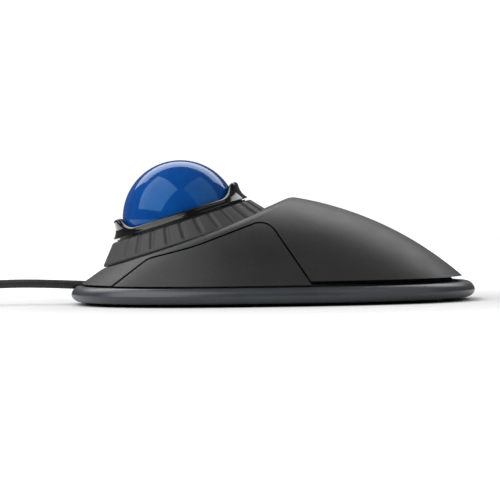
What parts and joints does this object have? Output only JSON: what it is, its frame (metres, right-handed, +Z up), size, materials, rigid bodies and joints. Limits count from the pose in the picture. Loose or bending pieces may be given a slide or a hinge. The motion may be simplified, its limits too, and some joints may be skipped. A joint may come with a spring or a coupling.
{
  "type": "trackball mouse",
  "caption": "wired trackball mouse: a ball in a leaning socket, a ribbed scroll ring round it, two side buttons and a domed palm rest on a rimmed base",
  "frame": {"origin": "bottom centre of the mouse without its cable, on the surface that it stands on", "axes": "+X to the palm rest's rear, -X to the front where the cable leaves, +Y to the user's right, +Z up"},
  "size_m": [0.233, 0.1168, 0.0494],
  "materials": {
    "cover_matte": "fine-grained matte charcoal moulding",
    "rim_grey": "blue-grey satin moulding",
    "base_black": "black moulding",
    "ball_blue": "deep blue polished resin",
    "ball_inner": "blue resin",
    "bezel_gloss": "dark gloss with a smoked metal look",
    "ring_rubber": "grey grip rubber",
    "carrier_black": "low-friction black plastic",
    "support_ceramic": "polished ceramic",
    "sensor_black": "moulded chip housing",
    "lens_clear": "clear moulded lens",
    "lamp_red": "red tinted lamp",
    "board_green": "green solder mask",
    "parts_tan": "small electronic parts",
    "ribbon_white": "flat ribbon",
    "switch_black": "switch housing",
    "plunger_white": "switch tip",
    "socket_white": "connector housing",
    "wire_mixed": "thin insulated leads",
    "screw_steel": "zinc-plated steel",
    "foot_rubber": "black rubber",
    "cable_rubber": "black cable jacket",
    "tie_black": "plastic strap",
    "plug_black": "moulded plug",
    "plug_steel": "nickel-plated steel",
    "plug_tongue": "white plastic"
  },
  "bodies": {
    "root": {"top_cover": "cover_matte", "rim_bumper": "rim_grey", "base_tray": "base_black", "cable_clamp": "base_black", "ball_bezel": "bezel_gloss", "ball_cup": "carrier_black", "support_balls": "support_ceramic", "motion_sensor": "sensor_black", "controller_chip": "sensor_black", "ring_sensor": "sensor_black", "sensor_lens": "lens_clear", "sensor_lamp": "lamp_red", "main_board": "board_green", "ring_sensor_board": "board_green", "board_parts": "parts_tan", "ring_sensor_ribbon": "ribbon_white", "left_switch": "switch_black", "right_switch": "switch_black", "cable_socket": "socket_white", "cable_wires": "wire_mixed", "case_screws": "screw_steel", "cup_screws": "screw_steel", "board_screws": "screw_steel", "rubber_feet": "foot_rubber", "cable": "cable_rubber", "cable_coil": "cable_rubber", "cable_tail": "cable_rubber", "cable_grommet": "cable_rubber", "cable_tie": "tie_black", "usb_plug_body": "plug_black", "usb_plug_shell": "plug_steel", "usb_plug_tongue": "plug_tongue"},
    "ball_inner": {"ball_core": "ball_inner"},
    "ball": {"ball_shell": "ball_blue"},
    "scroll_ring": {"scroll_ring": "ring_rubber", "ring_carrier": "carrier_black"},
    "left_button": {"left_button": "cover_matte"},
    "right_button": {"right_button": "cover_matte"},
    "left_plunger": {"left_plunger": "plunger_white"},
    "right_plunger": {"right_plunger": "plunger_white"}
  },
  "joints": [
    {"name": "ball_roll_forward", "type": "hinge", "parent": "root", "child": "ball_inner", "pos_m": [-0.0318, 0, 0.0294], "axis": [0, 1, 0], "continuous": true},
    {"name": "ball_roll_sideways", "type": "hinge", "parent": "ball_inner", "child": "ball", "pos_m": [-0.0318, 0, 0.0294], "axis": [1, 0, 0], "continuous": true},
    {"name": "scroll_ring_turn", "type": "hinge", "parent": "root", "child": "scroll_ring", "pos_m": [-0.0318, 0, 0.0294], "axis": [-0.2907, 0, 0.9568], "continuous": true},
    {"name": "left_button_press", "type": "hinge", "parent": "root", "child": "left_button", "pos_m": [0.012, -0.038, 0.014], "axis": [0, -1, 0], "range_deg": [0, 0.35], "stiffness_Nm_per_rad": 3, "springref_deg": -0.03},
    {"name": "right_button_press", "type": "hinge", "parent": "root", "child": "right_button", "pos_m": [0.012, 0.038, 0.014], "axis": [0, -1, 0], "range_deg": [0, 0.35], "stiffness_Nm_per_rad": 3, "springref_deg": -0.03},
    {"name": "left_plunger_travel", "type": "slide", "parent": "root", "child": "left_plunger", "axis": [0, 0, -1], "range_m": [0, 0.0003]},
    {"name": "right_plunger_travel", "type": "slide", "parent": "root", "child": "right_plunger", "axis": [0, 0, -1], "range_m": [0, 0.0003]}
  ],
  "couplings": [
    {"joint": "left_plunger_travel", "follows": "left_button_press", "m_per_rad": 0.03},
    {"joint": "right_plunger_travel", "follows": "right_button_press", "m_per_rad": 0.03}
  ]
}
